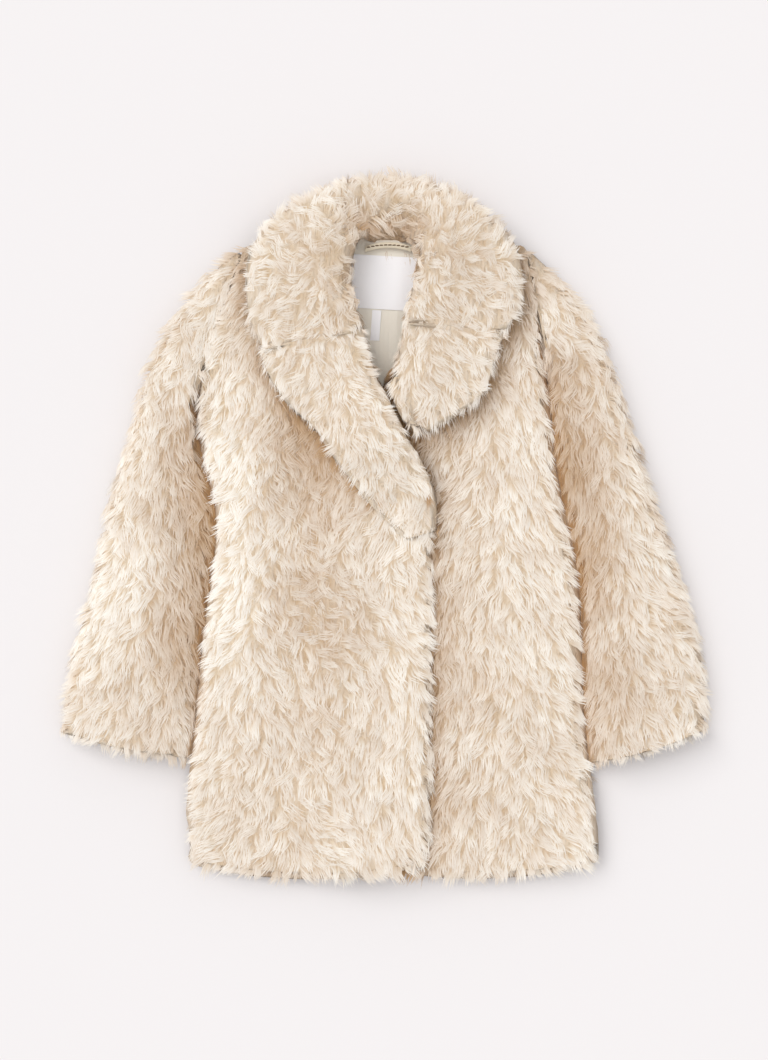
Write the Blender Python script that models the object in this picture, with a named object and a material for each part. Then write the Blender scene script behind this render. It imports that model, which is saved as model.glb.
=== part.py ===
"""Child's faux fur coat, buttonless, laid out flat on its back.

Metres, +Z up. The origin is at the middle of the underside, +Y points to the collar and
+X to the wearer's left, which is the right-hand side seen from above. Every fabric piece
is a closed wall as thick as the backing and its pile together.
"""

import math
from collections import namedtuple

import bmesh
import bpy

COAT = "faux_fur_coat"

# Layers of the lying coat, from the surface upwards.
BACK_WALL = 0.009
LINING_GAP = 0.003
FRONT_BASE = BACK_WALL + LINING_GAP
FRONT_TOP = 0.031
OVERLAP_PRESSED_TOP = 0.0255
OVERLAP_GAP = 0.001
OVERLAP_RISE = 0.0135
LAPEL_GAP = 0.0020
COLLAR_BASE = FRONT_TOP + 0.0015
SEAM_GAP = 0.0015
SEAM_REACH = 0.025

# The sleeve is a flattened tube: this is the slit between its two layers.
SLEEVE_SLIT_LOW = 0.0095
SLEEVE_SLIT_HIGH = 0.0120
SLEEVE_SLIT_INSET = 0.11

# Depth of the rounded edges, and how many points make each of them.
PANEL_EDGE = 0.009
BACK_EDGE = 0.0045
SLEEVE_EDGE = 0.022
COLLAR_EDGE = 0.014
LAPEL_EDGE = 0.011
HEM_EDGE = 0.009

# The hem of each front and the cuffs hang a little lower in the middle.
HEM_BOW = 0.0125
CUFF_BOW = 0.005
EDGE_ANGLES = (0, 30, 62, 90)
END_ANGLES = (80, 52, 26, 0)

# Usual size of each kind of piece, which sets the share its rounded edges take, and how
# many sections it has across and along.
Span = namedtuple("Span", "width length columns rows")
BACK_SPAN = Span(0.34, 0.58, 8, 14)
FRONT_SPAN = Span(0.20, 0.59, 12, 20)
SLEEVE_SPAN = Span(0.14, 0.48, 8, 16)
COLLAR_SPAN = Span(0.10, 0.36, 8, 32)
LAPEL_SPAN = Span(0.085, 0.19, 6, 12)
COLLAR_END = 0.008
LAPEL_END = 0.007

SHOULDER_Y = 0.262
NECK_CORNER = 0.034
NECK_SEAM_Y = 0.269
SHOULDER_SLOPE = 0.04

# The back runs from shoulder to hem, and bows out at both.
BACK_DROP = 0.578
NECK_BOW = 0.0055
BACK_HEM_BOW = 0.006

# First and last y of each front, along its side seam and along its front edge.
SIDE_ROWS = (SHOULDER_Y, -0.320)
EDGE_RIGHT_ROWS = (0.266, -0.319)
EDGE_LEFT_ROWS = (0.266, -0.318)

# Bands over which one shape passes into the next, as a low and a high end.
UNDER_COLLAR_Y = (0.115, 0.165)
CROSSING_Y = (0.128, 0.160)
PRESSED_PAST_EDGE = (-0.002, 0.022)
LIFT_BASE_BEFORE_EDGE = (-0.038, -0.015)
LIFT_TOP_BEFORE_EDGE = (-0.055, -0.008)
SHOULDER_SEAM_INSIDE = (0.055, 0.075)
COLLAR_OVER_SHOULDER = (0.002, 0.018)
SEAM_CLEARANCE = 0.0005
COLLAR_SHOULDER_LIFT = 0.004

# Height across a piece: shares of its full height.
SLEEVE_DOME = 0.20
CUFF_THINNING = 0.45
COLLAR_FALL = 0.22
COLLAR_STANDS_FROM = 0.32
COLLAR_STANDS_AT = 0.6
COLLAR_STANDING_FALL = 0.15
LAPEL_FALL = 0.2

# Body side, wearer's right: the armhole down to the underarm, then the side seam.
SIDE_RIGHT = (  # y, x
    (0.262, -0.130),
    (0.214, -0.146),
    (0.165, -0.161),
    (0.123, -0.175),
    (0.107, -0.177),
    (0.092, -0.176),
    (0.073, -0.172),
    (0.051, -0.166),
    (0.020, -0.158),
    (-0.015, -0.157),
    (-0.055, -0.163),
    (-0.106, -0.170),
    (-0.181, -0.177),
    (-0.256, -0.184),
    (-0.293, -0.186),
    (-0.311, -0.183),
    (-0.320, -0.175),
)

# Body side, wearer's left.
SIDE_LEFT = (  # y, x
    (0.262, 0.131),
    (0.215, 0.139),
    (0.168, 0.146),
    (0.122, 0.154),
    (0.062, 0.160),
    (0.011, 0.169),
    (-0.031, 0.179),
    (-0.087, 0.184),
    (-0.148, 0.185),
    (-0.195, 0.188),
    (-0.260, 0.196),
    (-0.302, 0.201),
    (-0.313, 0.199),
    (-0.320, 0.191),
)

# Front edge of the upper panel, from the neck along the fold of the lapel to the hem.
EDGE_RIGHT = (  # y, x
    (0.266, -0.034),
    (0.221, -0.033),
    (0.179, -0.019),
    (0.126, -0.003),
    (0.090, 0.014),
    (0.064, 0.031),
    (0.025, 0.047),
    (-0.019, 0.044),
    (-0.069, 0.046),
    (-0.134, 0.044),
    (-0.218, 0.044),
    (-0.293, 0.043),
    (-0.308, 0.041),
    (-0.319, 0.035),
)

# Front edge of the lower panel, hidden below the place where the fronts cross.
EDGE_LEFT = (  # y, x
    (0.266, 0.034),
    (0.221, 0.027),
    (0.174, 0.015),
    (0.123, -0.004),
    (0.076, -0.019),
    (0.029, -0.029),
    (-0.017, -0.032),
    (-0.134, -0.033),
    (-0.293, -0.032),
    (-0.308, -0.031),
    (-0.318, -0.027),
)

# Sleeve sections run from the outer edge to the edge beside the body.
SleeveRow = namedtuple("SleeveRow", "outer_x outer_y inner_y height")
SLEEVE_RIGHT = (
    SleeveRow(-0.133, 0.262, 0.123, 0.033),
    SleeveRow(-0.168, 0.235, 0.107, 0.037),
    SleeveRow(-0.191, 0.209, 0.092, 0.040),
    SleeveRow(-0.210, 0.179, 0.073, 0.041),
    SleeveRow(-0.225, 0.140, 0.051, 0.041),
    SleeveRow(-0.240, 0.090, 0.020, 0.041),
    SleeveRow(-0.256, 0.034, -0.015, 0.040),
    SleeveRow(-0.271, -0.031, -0.055, 0.042),
    SleeveRow(-0.290, -0.100, -0.106, 0.041),
    SleeveRow(-0.302, -0.150, -0.165, 0.042),
    SleeveRow(-0.305, -0.193, -0.218, 0.040),
)
SLEEVE_LEFT = (
    SleeveRow(0.134, 0.262, 0.122, 0.033),
    SleeveRow(0.166, 0.232, 0.092, 0.038),
    SleeveRow(0.194, 0.201, 0.060, 0.040),
    SleeveRow(0.213, 0.156, 0.025, 0.041),
    SleeveRow(0.231, 0.100, -0.018, 0.041),
    SleeveRow(0.251, 0.042, -0.065, 0.042),
    SleeveRow(0.273, -0.022, -0.112, 0.042),
    SleeveRow(0.294, -0.092, -0.160, 0.041),
    SleeveRow(0.305, -0.150, -0.195, 0.040),
    SleeveRow(0.304, -0.190, -0.222, 0.038),
)

# Collar sections run from the neck side to the free edge, from notch to notch.
# lean is 0 where the collar lies over the shoulder and 1 where it stands at the back neck.
CollarRow = namedtuple("CollarRow", "inner_x inner_y outer_x outer_y base crown lean")
COLLAR = (
    CollarRow(-0.018, 0.186, -0.115, 0.168, COLLAR_BASE, 0.056, 0.0),
    CollarRow(-0.027, 0.204, -0.127, 0.195, COLLAR_BASE, 0.060, 0.0),
    CollarRow(-0.030, 0.226, -0.129, 0.225, COLLAR_BASE, 0.063, 0.0),
    CollarRow(-0.029, 0.244, -0.126, 0.253, COLLAR_BASE, 0.065, 0.0),
    CollarRow(-0.026, 0.258, -0.115, 0.281, COLLAR_BASE, 0.066, 0.0),
    CollarRow(-0.022, 0.267, -0.094, 0.301, 0.0280, 0.066, 0.2),
    CollarRow(-0.015, NECK_SEAM_Y, -0.068, 0.315, 0.0080, 0.062, 0.6),
    CollarRow(-0.008, NECK_SEAM_Y, -0.040, 0.327, 0.0, 0.053, 1.0),
    CollarRow(0.000, NECK_SEAM_Y, -0.014, 0.332, 0.0, 0.047, 1.0),
    CollarRow(0.007, NECK_SEAM_Y, 0.014, 0.331, 0.0, 0.047, 1.0),
    CollarRow(0.014, NECK_SEAM_Y, 0.044, 0.326, 0.0, 0.050, 1.0),
    CollarRow(0.021, NECK_SEAM_Y, 0.074, 0.314, 0.0080, 0.056, 0.6),
    CollarRow(0.027, 0.266, 0.101, 0.294, 0.0280, 0.062, 0.2),
    CollarRow(0.030, 0.254, 0.118, 0.272, COLLAR_BASE, 0.065, 0.0),
    CollarRow(0.028, 0.238, 0.126, 0.245, COLLAR_BASE, 0.065, 0.0),
    CollarRow(0.024, 0.223, 0.129, 0.221, COLLAR_BASE, 0.063, 0.0),
    CollarRow(0.021, 0.207, 0.127, 0.202, COLLAR_BASE, 0.060, 0.0),
    CollarRow(0.017, 0.191, 0.114, 0.183, COLLAR_BASE, 0.056, 0.0),
)

# Lapel sections run from the fold to the free edge, from the gorge downwards.
LapelRow = namedtuple("LapelRow", "inner_x inner_y outer_x outer_y thickness")
LAPEL_RIGHT = (
    LapelRow(-0.018, 0.183, -0.117, 0.164, 0.023),
    LapelRow(-0.015, 0.164, -0.110, 0.143, 0.025),
    LapelRow(-0.007, 0.139, -0.096, 0.122, 0.025),
    LapelRow(0.006, 0.108, -0.076, 0.101, 0.025),
    LapelRow(0.018, 0.086, -0.058, 0.083, 0.024),
    LapelRow(0.032, 0.066, -0.042, 0.058, 0.022),
    LapelRow(0.043, 0.043, -0.023, 0.031, 0.018),
    LapelRow(0.049, 0.018, 0.000, 0.006, 0.013),
    LapelRow(0.048, -0.004, 0.020, -0.012, 0.008),
)
LAPEL_LEFT = (
    LapelRow(0.017, 0.188, 0.113, 0.179, 0.023),
    LapelRow(0.015, 0.170, 0.105, 0.163, 0.026),
    LapelRow(0.010, 0.151, 0.100, 0.142, 0.027),
    LapelRow(0.007, 0.133, 0.092, 0.122, 0.026),
    LapelRow(0.010, 0.118, 0.073, 0.107, 0.024),
    LapelRow(0.015, 0.106, 0.056, 0.096, 0.020),
    LapelRow(0.021, 0.096, 0.041, 0.088, 0.014),
)

# Main folds: a soft ridge where rise is positive, a trough where it is negative.
Fold = namedtuple("Fold", "start_x start_y end_x end_y half_width rise")
FOLDS_RIGHT = (
    Fold(-0.079, 0.110, -0.060, 0.006, 0.015, -0.006),
    Fold(-0.060, 0.006, -0.032, -0.106, 0.017, -0.004),
    Fold(-0.002, 0.015, -0.004, -0.181, 0.009, -0.004),
    Fold(0.024, 0.000, 0.024, -0.300, 0.015, 0.002),
    Fold(-0.118, 0.120, -0.121, -0.200, 0.026, 0.004),
    Fold(-0.014, -0.125, -0.051, -0.204, 0.013, -0.003),
    Fold(-0.051, -0.204, -0.130, -0.246, 0.013, -0.003),
)
FOLDS_LEFT = (
    Fold(0.055, 0.078, 0.100, 0.108, 0.014, -0.005),
    Fold(0.116, 0.090, 0.127, -0.218, 0.026, 0.004),
    Fold(0.076, 0.006, 0.086, -0.256, 0.016, -0.003),
    Fold(0.180, -0.210, 0.100, -0.290, 0.015, -0.003),
)
FOLDS_SLEEVE_RIGHT = (
    Fold(-0.200, 0.120, -0.176, -0.010, 0.015, -0.006),
    Fold(-0.262, -0.060, -0.190, -0.084, 0.018, 0.003),
    Fold(-0.300, -0.100, -0.180, -0.122, 0.015, -0.004),
    Fold(-0.240, 0.060, -0.215, -0.040, 0.018, 0.003),
)
FOLDS_SLEEVE_LEFT = (
    Fold(0.178, 0.150, 0.190, 0.000, 0.016, -0.006),
    Fold(0.214, 0.060, 0.236, -0.100, 0.018, 0.003),
    Fold(0.262, -0.060, 0.244, -0.200, 0.015, -0.004),
)
FOLDS_COLLAR = (
    Fold(-0.026, 0.262, -0.025, 0.296, 0.013, -0.007),
    Fold(-0.025, 0.296, -0.015, 0.326, 0.012, -0.006),
)

# Share of a flat piece's width that its blunt edges take.
FLAT_BLUNTING = 0.004
LINING_LOW = BACK_WALL + 0.0003
LINING_HIGH = LINING_LOW + 0.0008
LABEL_LOW = LINING_HIGH + 0.0003
LABEL_HIGH = LABEL_LOW + 0.0007

FlatRow = namedtuple("FlatRow", "left_x left_y right_x right_y")
LINING = (
    FlatRow(-0.040, 0.257, 0.042, 0.257),
    FlatRow(-0.041, 0.221, 0.037, 0.221),
    FlatRow(-0.029, 0.179, 0.025, 0.179),
    FlatRow(-0.016, 0.140, 0.012, 0.140),
    FlatRow(-0.009, 0.112, 0.003, 0.112),
)
NECK_LABEL = (
    FlatRow(-0.037, 0.2565, 0.031, 0.2525),
    FlatRow(-0.042, 0.2065, 0.026, 0.2025),
)
CARE_TAG = (
    FlatRow(-0.0115, 0.2035, -0.0030, 0.2030),
    FlatRow(-0.0135, 0.1750, -0.0050, 0.1745),
)

LOOP_HALF_SPAN = 0.022
LOOP_MIDDLE_X = 0.0035
LOOP_Y = 0.2625
LOOP_ARCH = 0.003
LOOP_HALF_WIDTH = 0.0022
LOOP_LOW = 0.0115
LOOP_HIGH = 0.0135
LOOP_STATIONS = 13
LOOP_STOPS = (0.0, 0.15, 0.35, 0.65, 0.85, 1.0)

Finish = namedtuple("Finish", "colour roughness")
PILE = Finish((0.76, 0.69, 0.57, 1.0), 0.95)
SATIN = Finish((0.80, 0.78, 0.73, 1.0), 0.45)
TAPE = Finish((0.72, 0.64, 0.50, 1.0), 0.8)
WHITE_WEAVE = Finish((0.90, 0.90, 0.90, 1.0), 0.7)


def clear_scene():
    for item in list(bpy.data.objects):
        bpy.data.objects.remove(item, do_unlink=True)


def material(name, finish):
    made = bpy.data.materials.new(name)
    made.use_nodes = True
    shader = made.node_tree.nodes["Principled BSDF"]
    shader.inputs["Base Color"].default_value = finish.colour
    shader.inputs["Roughness"].default_value = finish.roughness
    shader.inputs["Metallic"].default_value = 0.0
    made.diffuse_color = finish.colour
    return made


def smoothstep(start, end, value):
    share = min(max((value - start) / (end - start), 0.0), 1.0)
    return share * share * (3.0 - 2.0 * share)


def outline_x(outline, y):
    """x of an outline at y, by a cubic through its (y, x) rows, which run downwards."""
    ys = [row[0] for row in outline]
    xs = [row[1] for row in outline]
    if y >= ys[0]:
        return xs[0]
    if y <= ys[-1]:
        return xs[-1]
    last = len(ys) - 1
    i = max(k for k in range(last) if ys[k] >= y)
    step = ys[i + 1] - ys[i]

    def slope(k):
        before, after = max(k - 1, 0), min(k + 1, last)
        return (xs[after] - xs[before]) / (ys[after] - ys[before])

    t = (y - ys[i]) / step
    a, b = xs[i], xs[i + 1]
    rise_a, rise_b = slope(i) * step, slope(i + 1) * step
    return (
        a * (2 * t**3 - 3 * t**2 + 1)
        + b * (3 * t**2 - 2 * t**3)
        + rise_a * (t**3 - 2 * t**2 + t)
        + rise_b * (t**3 - t**2)
    )


def row_at(rows, v):
    """One row of a table at v from 0 to 1, by a smooth curve through all its rows."""
    last = len(rows) - 1
    place = min(max(v, 0.0), 1.0) * last
    i = min(int(place), last - 1)
    t = place - i
    r0, r1, r2, r3 = rows[max(i - 1, 0)], rows[i], rows[i + 1], rows[min(i + 2, last)]
    values = [
        0.5 * (2 * b + (c - a) * t + (2 * a - 5 * b + 4 * c - d) * t**2 + (3 * b - a - 3 * c + d) * t**3)
        for a, b, c, d in zip(r0, r1, r2, r3)
    ]
    return type(rows[0])(*values)


def folds_at(folds, x, y):
    """Height that the folds add at (x, y)."""
    total = 0.0
    for fold in folds:
        along_x, along_y = fold.end_x - fold.start_x, fold.end_y - fold.start_y
        length_2 = along_x**2 + along_y**2
        t = ((x - fold.start_x) * along_x + (y - fold.start_y) * along_y) / length_2
        t = min(max(t, 0.0), 1.0)
        away = math.hypot(x - fold.start_x - t * along_x, y - fold.start_y - t * along_y)
        total += fold.rise * math.exp(-((away / fold.half_width) ** 2))
    return total


def under_collar(y):
    """1 where the collar and lapels press the fronts flat, 0 below them."""
    return smoothstep(*UNDER_COLLAR_Y, y)


def crossing(y):
    """1 below the place where the two fronts cross, 0 in the open neck."""
    return 1.0 - smoothstep(*CROSSING_Y, y)


def front_left_top(x, y):
    past_edge = x - outline_x(EDGE_RIGHT, y)
    pressed = (1.0 - smoothstep(*PRESSED_PAST_EDGE, past_edge)) * crossing(y)
    relief = folds_at(FOLDS_LEFT, x, y) * (1.0 - under_collar(y)) * (1.0 - pressed)
    return FRONT_TOP + (OVERLAP_PRESSED_TOP - FRONT_TOP) * pressed + relief


def seam_drop(from_side, y):
    """How far the fronts' underside comes down to the back at the side and shoulder seams."""
    side = 1.0 - smoothstep(0.0, SEAM_REACH, from_side)
    shoulder = smoothstep(SHOULDER_Y - SEAM_REACH, SHOULDER_Y, y)
    shoulder *= 1.0 - smoothstep(*SHOULDER_SEAM_INSIDE, from_side)
    return (LINING_GAP - SEAM_CLEARANCE) * max(side, shoulder)


def front_left_base(x, y):
    return FRONT_BASE - seam_drop(outline_x(SIDE_LEFT, y) - x, y)


def front_right_base(x, y):
    past_edge = x - outline_x(EDGE_LEFT, y)
    lift = OVERLAP_PRESSED_TOP + OVERLAP_GAP - FRONT_BASE
    lift *= smoothstep(*LIFT_BASE_BEFORE_EDGE, past_edge) * crossing(y)
    return FRONT_BASE + lift - seam_drop(x - outline_x(SIDE_RIGHT, y), y)


def front_right_top(x, y):
    past_edge = x - outline_x(EDGE_LEFT, y)
    lift = OVERLAP_RISE * smoothstep(*LIFT_TOP_BEFORE_EDGE, past_edge) * crossing(y)
    relief = folds_at(FOLDS_RIGHT, x, y) * (1.0 - under_collar(y))
    return FRONT_TOP + lift + relief


def wall_chain(span, depth, tip_a=0.5, tip_b=0.5):
    """(s, fullness, tip) across a wall: s from 0 to 1, fullness 0 on the two rounded edges.

    tip is the height of an edge's outermost line, from 0 at the wall's base to 1 at its top.
    """
    share, columns = depth / span.width, span.columns
    rounded = [(1.0 - math.cos(math.radians(a)), math.sin(math.radians(a))) for a in EDGE_ANGLES]
    flat = [(share + (1.0 - 2 * share) * i / columns, 1.0) for i in range(1, columns)]
    start = [(share * across, full) for across, full in rounded]
    end = [(1.0 - share * across, full) for across, full in reversed(rounded)]
    return [(s, full, tip_a + (tip_b - tip_a) * s) for s, full in start + flat + end]


def row_stops(span, depth, rounded_start=True):
    """(v, fullness) of each section: evenly spaced, closer on a rounded end."""
    share, rows = depth / span.length, span.rows
    curve = [(share * (1.0 - math.sin(math.radians(a))), math.cos(math.radians(a))) for a in END_ANGLES]
    start = curve if rounded_start else [(0.0, 1.0)]
    end = [(1.0 - v, full) for v, full in reversed(curve)]
    first, last = start[-1][0], end[0][0]
    middle = [(first + (last - first) * i / rows, 1.0) for i in range(1, rows)]
    return start + middle + end


def ring_faces(start_a, start_b, count, flip=False):
    """Quads between two rings of vertices."""
    faces = []
    for i in range(count):
        j = (i + 1) % count
        face = (start_a + i, start_a + j, start_b + j, start_b + i)
        faces.append(face[::-1] if flip else face)
    return faces


def cap_faces(start, half, flip=False):
    """Closes a wall's end: its lower and upper points are joined pair by pair."""
    top = 2 * half
    faces = [(start, start + top - 1, start + 1)]
    for i in range(1, half - 1):
        faces.append((start + i, start + top - i, start + top - i - 1, start + i + 1))
    faces.append((start + half - 1, start + half + 1, start + half))
    return [face[::-1] for face in faces] if flip else faces


def add_object(name, points, faces, finish_material, collection):
    mesh = bpy.data.meshes.new(name)
    mesh.from_pydata(points, [], faces)
    work = bmesh.new()
    work.from_mesh(mesh)
    bmesh.ops.recalc_face_normals(work, faces=work.faces)
    work.to_mesh(mesh)
    work.free()
    mesh.shade_smooth()
    mesh.set_sharp_from_angle(angle=math.radians(60))
    mesh.materials.append(finish_material)
    made = bpy.data.objects.new(name, mesh)
    collection.objects.link(made)
    return made


def wall_points(section, base, top, stops, chain):
    """Rings of a wall. section(v, s) gives x and y; base and top give heights there."""
    points = []
    for v, end_full in stops:
        lower, upper = [], []
        for s, edge_full, tip in chain:
            x, y = section(v, s)
            low, high = base(x, y, v, s), top(x, y, v, s)
            middle, full = low + (high - low) * tip, edge_full * end_full
            lower.append((x, y, middle - (middle - low) * full))
            upper.append((x, y, middle + (high - middle) * full))
        points += lower + upper[-2:0:-1]
    return points


def wall(name, section, base, top, stops, chain, finish_material, collection):
    """A closed wall lofted through its sections."""
    points = wall_points(section, base, top, stops, chain)
    half = len(chain) - 1
    count = 2 * half
    faces = cap_faces(0, half)
    for i in range(len(stops) - 1):
        faces += ring_faces(i * count, (i + 1) * count, count)
    faces += cap_faces((len(stops) - 1) * count, half, flip=True)
    return add_object(name, points, faces, finish_material, collection)


def tube(name, section, base, top, slit, stops, chain, finish_material, collection):
    """A wall lofted round a flat slit that is open at both ends."""
    outer = wall_points(section, base, top, stops, chain)
    half = len(chain) - 1
    count = 2 * half
    inset = SLEEVE_SLIT_INSET
    narrow = [(inset + (1.0 - 2 * inset) * s, full, tip) for s, full, tip in chain]
    level = [(v, 1.0) for v, _ in stops]
    inner = wall_points(section, lambda *place: slit[0], lambda *place: slit[1], level, narrow)
    shift = len(outer)
    faces = ring_faces(0, shift, count, flip=True)
    for i in range(len(stops) - 1):
        faces += ring_faces(i * count, (i + 1) * count, count)
        faces += ring_faces(shift + i * count, shift + (i + 1) * count, count, flip=True)
    last = (len(stops) - 1) * count
    faces += ring_faces(last, shift + last, count)
    return add_object(name, outer + inner, faces, finish_material, collection)


def back_section(v, s):
    y = SHOULDER_Y - BACK_DROP * v
    left, right = outline_x(SIDE_RIGHT, y), outline_x(SIDE_LEFT, y)
    bow = NECK_BOW * (1.0 - smoothstep(0.0, 0.06, v)) - BACK_HEM_BOW * smoothstep(0.9, 1.0, v)
    return left + (right - left) * s, y + bow * 4 * s * (1 - s)


def front_section(side, edge, side_rows, edge_rows):
    """Section function of a front: it runs from the side seam to the front edge."""

    def section(v, s):
        side_y = side_rows[0] + (side_rows[1] - side_rows[0]) * v
        edge_y = edge_rows[0] + (edge_rows[1] - edge_rows[0]) * v
        side_x, edge_x = outline_x(side, side_y), outline_x(edge, edge_y)
        bow = -HEM_BOW * smoothstep(0.85, 1.0, v)
        return side_x + (edge_x - side_x) * s, side_y + (edge_y - side_y) * s + bow * 4 * s * (1 - s)

    return section


def build_body(fur, collection):
    back_chain = wall_chain(BACK_SPAN, BACK_EDGE, 1.0, 1.0)
    back_stops = row_stops(BACK_SPAN, BACK_EDGE)
    wall(
        "back", back_section, lambda x, y, v, s: 0.0, lambda x, y, v, s: BACK_WALL,
        back_stops, back_chain, fur, collection,
    )
    chain = wall_chain(FRONT_SPAN, PANEL_EDGE, 0.0, 0.5)
    stops = row_stops(FRONT_SPAN, HEM_EDGE)
    wall(
        "front_right", front_section(SIDE_RIGHT, EDGE_RIGHT, SIDE_ROWS, EDGE_RIGHT_ROWS),
        lambda x, y, v, s: front_right_base(x, y), lambda x, y, v, s: front_right_top(x, y),
        stops, chain, fur, collection,
    )
    wall(
        "front_left", front_section(SIDE_LEFT, EDGE_LEFT, SIDE_ROWS, EDGE_LEFT_ROWS),
        lambda x, y, v, s: front_left_base(x, y), lambda x, y, v, s: front_left_top(x, y),
        stops, chain, fur, collection,
    )


def build_sleeve(name, rows, side, outward, folds, fur, collection):
    """outward is -1 for the wearer's right sleeve and +1 for the left."""

    def section(v, s):
        row = row_at(rows, v)
        inner_x = outline_x(side, row.inner_y) + outward * SEAM_GAP
        bow = -CUFF_BOW * smoothstep(0.8, 1.0, v) * 4 * s * (1 - s)
        x = row.outer_x + (inner_x - row.outer_x) * s
        return x, row.outer_y + (row.inner_y - row.outer_y) * s + bow

    def top(x, y, v, s):
        dome = 1.0 - SLEEVE_DOME * (1.0 - math.sin(math.pi * s))
        return row_at(rows, v).height * dome + folds_at(folds, x, y) * smoothstep(0.0, 0.15, v)

    chain = wall_chain(SLEEVE_SPAN, SLEEVE_EDGE)
    stops = row_stops(SLEEVE_SPAN, HEM_EDGE, rounded_start=False)
    stops = [(v, 1.0 - CUFF_THINNING * (1.0 - full)) for v, full in stops]
    tube(
        name, section, lambda x, y, v, s: 0.0, top, (SLEEVE_SLIT_LOW, SLEEVE_SLIT_HIGH),
        stops, chain, fur, collection,
    )


def build_collar(fur, collection):
    def section(v, s):
        row = row_at(COLLAR, v)
        return (
            row.inner_x + (row.outer_x - row.inner_x) * s,
            row.inner_y + (row.outer_y - row.inner_y) * s,
        )

    def base(x, y, v, s):
        shoulder = SHOULDER_Y + COLLAR_SHOULDER_LIFT
        shoulder -= SHOULDER_SLOPE * max(abs(x) - NECK_CORNER, 0.0)
        lying = 1.0 - smoothstep(*COLLAR_OVER_SHOULDER, y - shoulder)
        return max(row_at(COLLAR, v).base, 0.0) * lying

    def top(x, y, v, s):
        row = row_at(COLLAR, v)
        lying = 1.0 - COLLAR_FALL * smoothstep(0.30, 1.0, s)
        climb = math.sin(math.pi / 2 * min(s / COLLAR_STANDS_AT, 1.0))
        standing = COLLAR_STANDS_FROM + (1.0 - COLLAR_STANDS_FROM) * climb
        standing -= COLLAR_STANDING_FALL * smoothstep(COLLAR_STANDS_AT, 1.0, s)
        lean = min(max(row.lean, 0.0), 1.0)
        low = max(row.base, 0.0)
        height = (row.crown - low) * (lying + (standing - lying) * lean)
        return low + height + folds_at(FOLDS_COLLAR, x, y)

    chain = wall_chain(COLLAR_SPAN, COLLAR_EDGE)
    stops = row_stops(COLLAR_SPAN, COLLAR_END)
    wall("collar", section, base, top, stops, chain, fur, collection)


def build_lapel(name, rows, panel_top, fur, collection):
    def section(v, s):
        row = row_at(rows, v)
        return (
            row.inner_x + (row.outer_x - row.inner_x) * s,
            row.inner_y + (row.outer_y - row.inner_y) * s,
        )

    def base(x, y, v, s):
        return panel_top(x, y) + LAPEL_GAP

    def top(x, y, v, s):
        full = 1.0 - LAPEL_FALL * smoothstep(0.35, 1.0, s)
        return base(x, y, v, s) + row_at(rows, v).thickness * full

    chain = wall_chain(LAPEL_SPAN, LAPEL_EDGE)
    stops = row_stops(LAPEL_SPAN, LAPEL_END)
    wall(name, section, base, top, stops, chain, fur, collection)


def flat_piece(name, rows, low, high, finish_material, collection, columns, lengths):
    """A thin flat piece between two heights, blunt on all sides."""

    def section(v, s):
        row = row_at(rows, v)
        return row.left_x + (row.right_x - row.left_x) * s, row.left_y + (row.right_y - row.left_y) * s

    inside = 1.0 - 2 * FLAT_BLUNTING
    chain = [(0.0, 0.0, 0.5)]
    chain += [(FLAT_BLUNTING + inside * i / columns, 1.0, 0.5) for i in range(columns + 1)]
    chain += [(1.0, 0.0, 0.5)]
    stops = [(i / lengths, 1.0) for i in range(lengths + 1)]
    wall(
        name, section, lambda x, y, v, s: low, lambda x, y, v, s: high,
        stops, chain, finish_material, collection,
    )


def build_loop(tape, collection):
    def section(v, s):
        along = 2.0 * v - 1.0
        x = LOOP_MIDDLE_X + LOOP_HALF_SPAN * along
        y = LOOP_Y + LOOP_ARCH * (1.0 - along**2) - LOOP_ARCH / 2
        return x, y + LOOP_HALF_WIDTH * (2.0 * s - 1.0)

    chain = [(s, math.sin(math.pi * s), 0.5) for s in LOOP_STOPS]
    stops = [(i / (LOOP_STATIONS - 1), 1.0) for i in range(LOOP_STATIONS)]
    wall(
        "hanger_loop", section, lambda x, y, v, s: LOOP_LOW, lambda x, y, v, s: LOOP_HIGH,
        stops, chain, tape, collection,
    )


def main():
    clear_scene()
    collection = bpy.data.collections.new(COAT)
    bpy.context.scene.collection.children.link(collection)
    fur = material("cream_pile", PILE)
    satin = material("satin_lining", SATIN)
    tape = material("cotton_tape", TAPE)
    weave = material("white_label_weave", WHITE_WEAVE)
    build_body(fur, collection)
    build_sleeve("sleeve_right", SLEEVE_RIGHT, SIDE_RIGHT, -1, FOLDS_SLEEVE_RIGHT, fur, collection)
    build_sleeve("sleeve_left", SLEEVE_LEFT, SIDE_LEFT, 1, FOLDS_SLEEVE_LEFT, fur, collection)
    build_collar(fur, collection)
    build_lapel("lapel_right", LAPEL_RIGHT, front_right_top, fur, collection)
    build_lapel("lapel_left", LAPEL_LEFT, front_left_top, fur, collection)
    flat_piece("lining_back", LINING, LINING_LOW, LINING_HIGH, satin, collection, 6, 8)
    flat_piece("neck_label", NECK_LABEL, LABEL_LOW, LABEL_HIGH, weave, collection, 2, 2)
    flat_piece("care_tag", CARE_TAG, LABEL_LOW, LABEL_HIGH, weave, collection, 1, 2)
    build_loop(tape, collection)


main()
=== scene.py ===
"""Child's faux fur coat, laid flat: the pile, lining and labels over the fixed solids.

Metres, +Z up. +Y points to the collar and +X to the wearer's left.
"""

import math
from collections import namedtuple
from functools import cache, reduce

import bmesh
import bpy
import numpy as np
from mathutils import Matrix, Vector
from mathutils.bvhtree import BVHTree


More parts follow.
